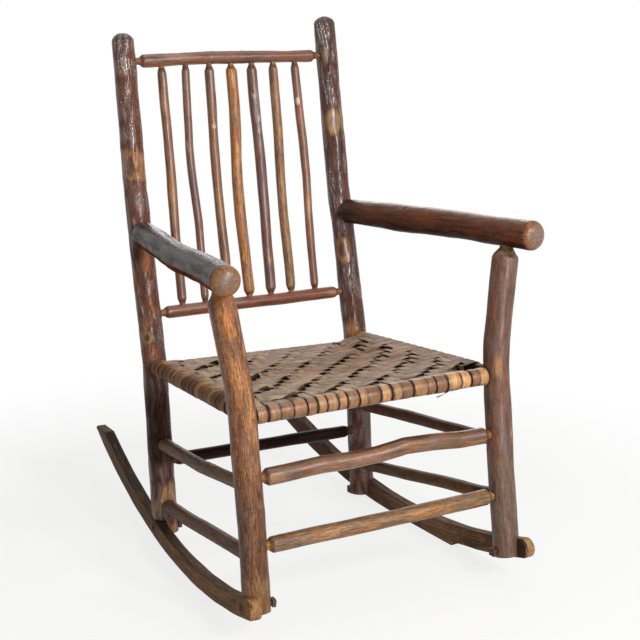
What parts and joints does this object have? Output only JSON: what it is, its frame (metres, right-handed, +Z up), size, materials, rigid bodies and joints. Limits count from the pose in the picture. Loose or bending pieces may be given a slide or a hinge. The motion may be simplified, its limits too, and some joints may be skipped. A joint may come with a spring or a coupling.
{
  "type": "rocking armchair",
  "caption": "Rustic bark-on sapling rocking armchair with a spindle back, round arms, a woven bark-splint seat and lapped rockers.",
  "frame": {"origin": "on the floor, under the middle of the object's box", "axes": "+Z up, -Y towards the front of the seat, +X to the right of a person who looks at the chair from the front"},
  "size_m": [0.6316, 0.8818, 0.9571],
  "materials": {
    "dark_bark": "dark red-brown bark under old shellac, semi-gloss",
    "red_bark": "red-brown bark under old shellac, semi-gloss",
    "peeled_hickory": "inner bark and peeled wood, golden orange, satin",
    "arm_bark": "hand-worn grey-brown bark, satin to semi-gloss",
    "rocker_oak": "sawn hardwood, dull brown, worn edges",
    "bark_splint": "woven strips of inner bark, golden to grey-tan, satin",
    "rusty_iron": "rusted iron, matt"
  },
  "bodies": {
    "root": {"arm_left": "arm_bark", "arm_right": "arm_bark", "crest_rail": "red_bark", "front_post_left": "peeled_hickory", "front_post_right": "red_bark", "lower_back_rail": "red_bark", "nail_arm_left": "rusty_iron", "nail_arm_right": "rusty_iron", "nail_crest_left": "rusty_iron", "nail_crest_right": "rusty_iron", "nail_lower_rail_left": "rusty_iron", "nail_lower_rail_right": "rusty_iron", "nail_seat_rail_left": "rusty_iron", "nail_seat_rail_right": "rusty_iron", "rear_post_left": "dark_bark", "rear_post_right": "dark_bark", "rocker_bolt_front_left": "rusty_iron", "rocker_bolt_front_right": "rusty_iron", "rocker_bolt_rear_left": "rusty_iron", "rocker_bolt_rear_right": "rusty_iron", "rocker_left": "rocker_oak", "rocker_nut_front_left": "rusty_iron", "rocker_nut_front_right": "rusty_iron", "rocker_nut_rear_left": "rusty_iron", "rocker_nut_rear_right": "rusty_iron", "rocker_right": "rocker_oak", "seat_rail_front": "peeled_hickory", "seat_rail_left": "peeled_hickory", "seat_rail_rear": "peeled_hickory", "seat_rail_right": "peeled_hickory", "spindle_1": "dark_bark", "spindle_2": "dark_bark", "spindle_3": "dark_bark", "spindle_4": "peeled_hickory", "spindle_5": "dark_bark", "spindle_6": "peeled_hickory", "spindle_7": "dark_bark", "stretcher_front_lower": "peeled_hickory", "stretcher_front_upper": "red_bark", "stretcher_left_lower": "arm_bark", "stretcher_left_upper": "arm_bark", "stretcher_rear": "dark_bark", "stretcher_right_lower": "arm_bark", "stretcher_right_upper": "arm_bark", "woven_seat": "bark_splint"}
  },
  "joints": []
}
